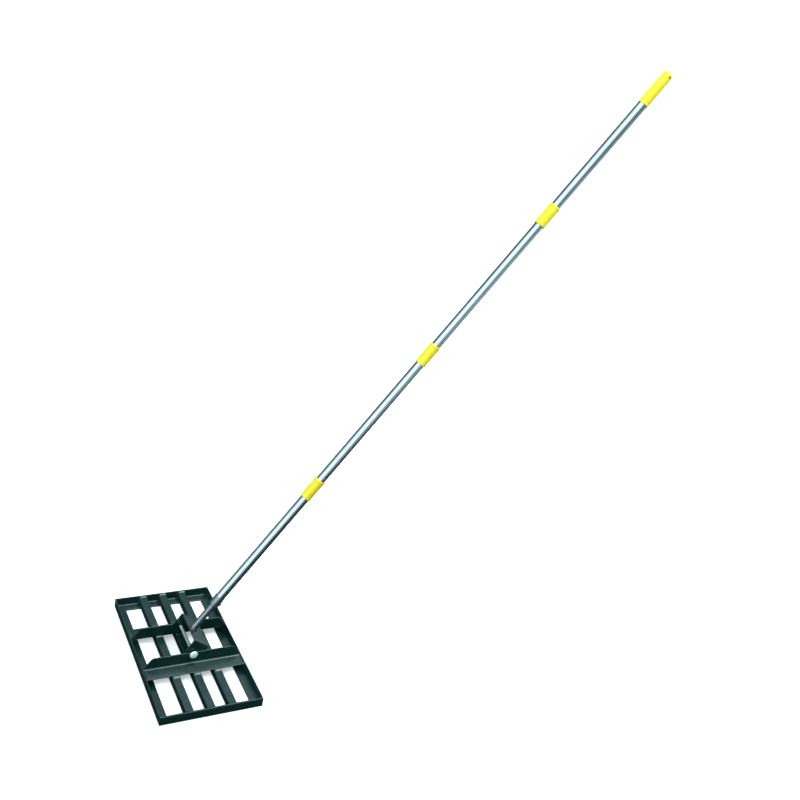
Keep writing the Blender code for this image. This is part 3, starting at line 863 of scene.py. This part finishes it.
def make_grip():
    """The grip sleeve with ring grooves at its ends, and the cap with its hanging hole."""
    start, end, radius = span("grip_sleeve")
    _, _, tube = span("tube_4")
    bore = tube + COPE_GAP
    profile = [(bore, start), (radius - 0.0006, start), (radius - 0.0001, start + 0.0005)]
    for h in rows(start + 0.0012, end - 0.0012, 0.0004):
        from_end = min(h - start, end - h)
        ring = 0.5 - 0.5 * math.cos((from_end - 0.003) / GRIP_RING_PITCH * 2.0 * math.pi)
        ringed = 0.003 <= from_end <= 0.003 + GRIP_RINGS * GRIP_RING_PITCH
        depth = GRIP_RING_DEPTH * ring if ringed else 0.0
        profile.append((radius - depth, h))
    profile += [(radius - 0.0001, end - 0.0005), (radius - 0.0006, end), (bore, end)]

    def soft_ribs(angle, height, r):
        fade = min(1.0, max(0.0, (min(height - start, end - height) - 0.013) / 0.004))
        if r < radius - 0.0001:
            return r
        return r - GRIP_RIB_DEPTH * fade * (0.5 - 0.5 * math.cos(angle * GRIP_RIBS)) ** 2

    made = lathe(profile, 160, soft_ribs)
    piece("grip_sleeve_shell", made, YELLOW, "section_4", HANDLE, "grip_sleeve", sharp=50.0)

    _, top, radius = span("end_cap")
    shoulder = end + COPE_GAP
    straight = (top - end) / 2
    crown = arc((0.0, 0.0), 1.0, 0.0, 90.0, 16)
    flat = radius / 3
    plug = tube - TUBE_WALL - COPE_GAP
    profile = [(0.0, end - 0.012), (plug, end - 0.012), (plug, shoulder)]
    profile += [(radius - 0.0005, shoulder), (radius, shoulder + 0.0005)]
    profile += [(radius, h) for h in rows(shoulder + 0.001, top - straight - 0.0004, 0.001)]
    profile += [(flat + r * (radius - flat), top - straight + h * straight) for r, h in crown]
    profile.append((0.0, top))
    openings = frame["record"]["physics"]["openings"]
    hole_box = next(opening["box_m"] for opening in openings if opening["name"] == "hang_hole")
    centre = HANDLE.inverted() @ ((Vector(hole_box[0]) + Vector(hole_box[1])) / 2)
    made = lathe(profile, 96)
    reach = radius + STEEL
    made = cut(made, rod(HANG_HOLE_RADIUS, -reach, reach, "Y", (0.0, 0.0, centre.z), 48))
    piece("end_cap_shell", made, YELLOW, "section_4", HANDLE, "end_cap", bevel=0.0009, sharp=40.0)


def finish_hidden_nodes():
    """The threaded plugs stay as they are in the CAD, inside the couplers and tubes."""
    for number in (2, 3, 4):
        slots = frame["nodes"][f"threaded_plug_{number}"].material_slots
        for place in slots:
            place.material = YELLOW


# ---------------------------------------------------------------- stage


def make_floor():
    """A pale floor to the camera. Reflections see it dark near the object and grey further away."""
    made = bmesh.new()
    bmesh.ops.create_circle(made, cap_ends=True, radius=FLOOR_RADIUS, segments=96)
    mesh = bpy.data.meshes.new("floor")
    made.to_mesh(mesh)
    made.free()
    floor = bpy.data.objects.new("floor", mesh)
    bpy.context.scene.collection.objects.link(floor)
    floor.location.z = -FLOOR_DROP
    look = Look("floor_paper", Roughness=0.9, Specular_IOR_Level=0.1)
    grain = look.ramp(look.noise(35.0, 5.0), 0.3, 0.7)
    pale = look.mix(grain, (0.90, 0.905, 0.91), (0.93, 0.935, 0.94))
    away = look.add("ShaderNodeVectorMath", {0: look.place}, operation="LENGTH").outputs["Value"]
    shade = look.mix(grain, (0.020, 0.024, 0.024), (0.026, 0.030, 0.030))
    shade = look.mix(look.ramp(away, 1.2, 3.0), shade, (0.46, 0.48, 0.48))
    seen = look.add("ShaderNodeLightPath").outputs["Is Camera Ray"]
    glow = look.maths("MULTIPLY", seen, 0.35)
    look.set(Base_Color=look.mix(seen, shade, pale), Emission_Strength=glow)
    look.shader.inputs["Emission Color"].default_value = (1.0, 0.99, 0.98, 1.0)
    mesh.materials.append(look.material)


def make_world():
    """A studio with a bright ceiling, dim walls and two large soft windows. The camera itself sees
    a plain pale backdrop instead."""
    world = bpy.data.worlds.new("studio")
    bpy.context.scene.world = world
    world.use_nodes = True
    tree = world.node_tree

    def node(kind, inputs, output=0, **settings):
        made = tree.nodes.new(kind)
        for key, value in settings.items():
            setattr(made, key, value)
        for socket, value in inputs.items():
            if isinstance(value, bpy.types.NodeSocket):
                tree.links.new(value, made.inputs[socket])
            else:
                made.inputs[socket].default_value = value
        return made.outputs[output]

    def soft_step(value, low, high, dim, bright):
        inputs = {"Value": value, "From Min": low, "From Max": high, "To Min": dim, "To Max": bright}
        return node("ShaderNodeMapRange", inputs, interpolation_type="SMOOTHSTEP")

    towards = node("ShaderNodeTexCoord", {})
    height = node("ShaderNodeSeparateXYZ", {0: towards}, 2)
    glow = soft_step(height, 0.60, 0.73, 0.10, 1.25)
    for direction, edge, middle, bright in WINDOWS:
        inputs = {0: towards, 1: Vector(direction).normalized()}
        facing = node("ShaderNodeVectorMath", inputs, 1, operation="DOT_PRODUCT")
        glow = node("ShaderNodeMath", {0: glow, 1: soft_step(facing, edge, middle, 0.0, bright)})
    tinted = node("ShaderNodeVectorMath", {0: WALL_TINT, "Scale": glow}, operation="SCALE")
    seen = node("ShaderNodeLightPath", {})
    shown = node("ShaderNodeMix", {0: seen, 4: tinted, 5: BACKDROP}, 1, data_type="VECTOR")
    tree.links.new(shown, tree.nodes["Background"].inputs["Color"])


def make_softbox(name, direction, distance, size, energy, colour=(1.0, 1.0, 1.0)):
    """A soft rectangular light, aimed at the middle of the object from a direction."""
    middle = Vector(LIGHTS_AIM)
    lamp = bpy.data.lights.new(name, "AREA")
    lamp.shape = "RECTANGLE"
    lamp.size, lamp.size_y = size
    lamp.energy = energy
    lamp.color = colour
    softbox = bpy.data.objects.new(name, lamp)
    bpy.context.scene.collection.objects.link(softbox)
    away = Vector(direction).normalized()
    turn = (-away).to_track_quat("-Z", "Y").to_matrix()
    softbox.matrix_world = Matrix.Translation(middle + away * distance) @ turn.to_4x4()
    softbox.visible_camera = False


def make_camera():
    """Looks down on the head from its near left, turned so that the handle rises to the right."""
    azimuth, elevation, roll = (math.radians(angle) for angle in CAMERA_ANGLES)
    target = Vector(CAMERA_TARGET)
    back = Vector((math.sin(azimuth) * math.cos(elevation), -math.cos(azimuth) * math.cos(elevation),
                   math.sin(elevation)))
    lens = bpy.data.cameras.new("camera")
    lens.sensor_width = 36.0
    lens.lens = CAMERA_LENS
    lens.shift_x = CAMERA_SHIFT
    lens.clip_end = 400.0
    camera = bpy.data.objects.new("camera", lens)
    bpy.context.scene.collection.objects.link(camera)
    turn = (-back).to_track_quat("-Z", "Y").to_matrix() @ Matrix.Rotation(roll, 3, "Z")
    camera.matrix_world = Matrix.Translation(target + back * CAMERA_DISTANCE) @ turn.to_4x4()
    bpy.context.scene.camera = camera


make_rails()
make_bars()
make_cross_members()
make_frame_welds()
make_pivot()
make_bracket()
make_spigot_and_collar()
make_lock_screw()
make_tubes()
make_couplers()
make_grip()
finish_hidden_nodes()
make_floor()
make_world()
make_softbox("softbox_left", (-0.70, -0.58, 0.42), 4.2, (3.2, 4.0), 22.0)
make_softbox("softbox_above", (0.42, -0.10, 0.90), 3.0, (2.2, 2.2), 120.0, (0.84, 0.99, 1.0))
make_softbox("softbox_back", (0.50, 0.84, 0.08), 3.6, (4.2, 1.0), 20.0, (0.72, 0.95, 1.0))
make_softbox("softbox_right", (0.85, 0.15, 0.40), 3.8, (2.0, 2.0), 35.0)
make_camera()
bpy.context.scene.view_settings.view_transform = "Standard"
